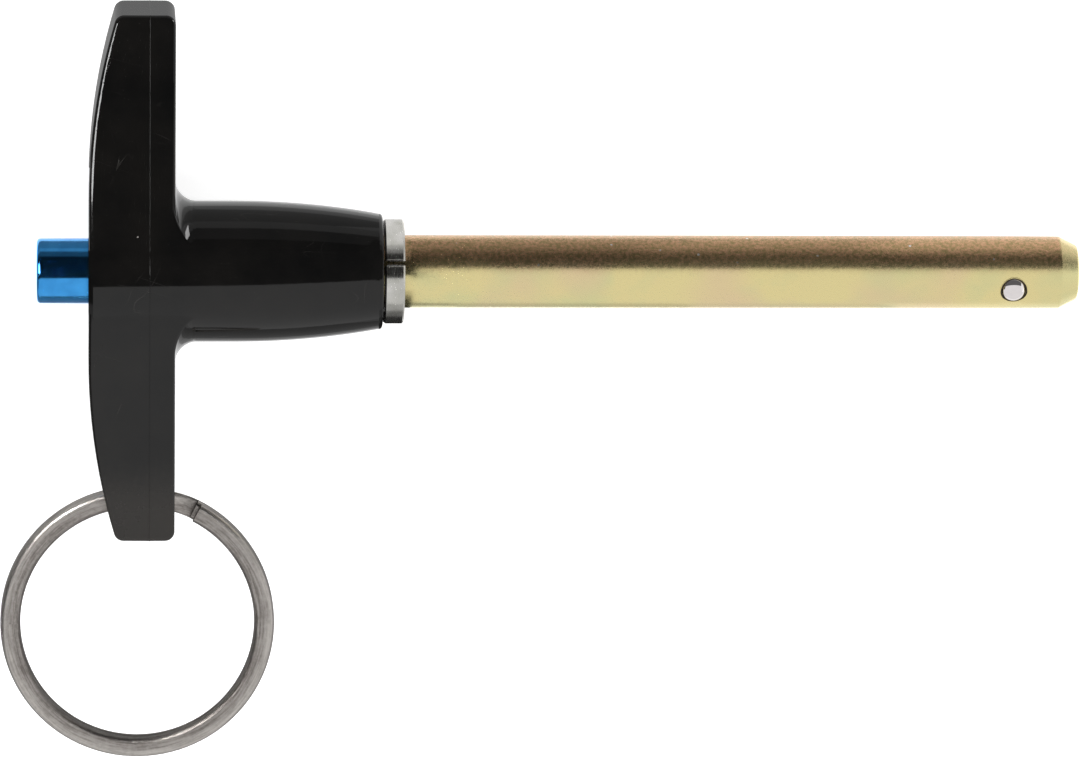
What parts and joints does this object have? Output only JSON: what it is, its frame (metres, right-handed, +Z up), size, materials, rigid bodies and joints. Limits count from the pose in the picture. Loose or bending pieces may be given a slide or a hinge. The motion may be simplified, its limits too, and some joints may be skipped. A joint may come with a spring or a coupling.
{
  "type": "ball lock pin",
  "caption": "Quick-release pin with a T-handle: pressing the button in the handle's back lets the balls near the tip drop into the shank.",
  "frame": {"origin": "centre of the shoulder, the front face of the retaining ring, on the pin's axis", "axes": "+X along the shank towards the tip, +Y along the T-handle away from the key ring, +Z up as the pin lies"},
  "size_m": [0.0941, 0.0665, 0.0122],
  "materials": {
    "handle": "die casting with a gloss black enamel coat",
    "shank": "turned steel, zinc plated with a yellow chromate coat",
    "retaining_ring": "bare turned stainless steel",
    "spindle": "ground stainless steel",
    "button": "turned aluminium, anodised blue",
    "return_spring": "drawn stainless spring wire",
    "locking_ball": "polished hardened steel",
    "key_ring": "stainless steel strip, tumbled"
  },
  "bodies": {
    "handle": {"handle": "handle", "shank": "shank", "retaining_ring": "retaining_ring", "return_spring": "return_spring"},
    "button": {"button": "button", "spindle": "spindle"},
    "ball_upper": {"locking_ball_upper": "locking_ball"},
    "ball_lower": {"locking_ball_lower": "locking_ball"},
    "key_ring": {"key_ring": "key_ring"}
  },
  "joints": [
    {"name": "button_press", "type": "slide", "parent": "handle", "child": "button", "axis": [1, 0, 0], "range_m": [0, 0.0028], "stiffness_N_per_m": 1200, "springref_m": -0.0025, "deforming": ["return_spring"]},
    {"name": "ball_upper_drop", "type": "slide", "parent": "handle", "child": "ball_upper", "axis": [0, 0.3502, -0.9367], "range_m": [0, 0.00052]},
    {"name": "ball_lower_drop", "type": "slide", "parent": "handle", "child": "ball_lower", "axis": [0, -0.3502, 0.9367], "range_m": [0, 0.00052]},
    {"name": "key_ring_swing", "type": "hinge", "parent": "handle", "child": "key_ring", "pos_m": [-0.0231, -0.02035, 0], "axis": [1, 0, 0], "range_deg": [-150, 150]}
  ],
  "couplings": [
    {"joint": "ball_upper_drop", "follows": "button_press", "ratio": 0.1857},
    {"joint": "ball_lower_drop", "follows": "button_press", "ratio": 0.1857}
  ]
}
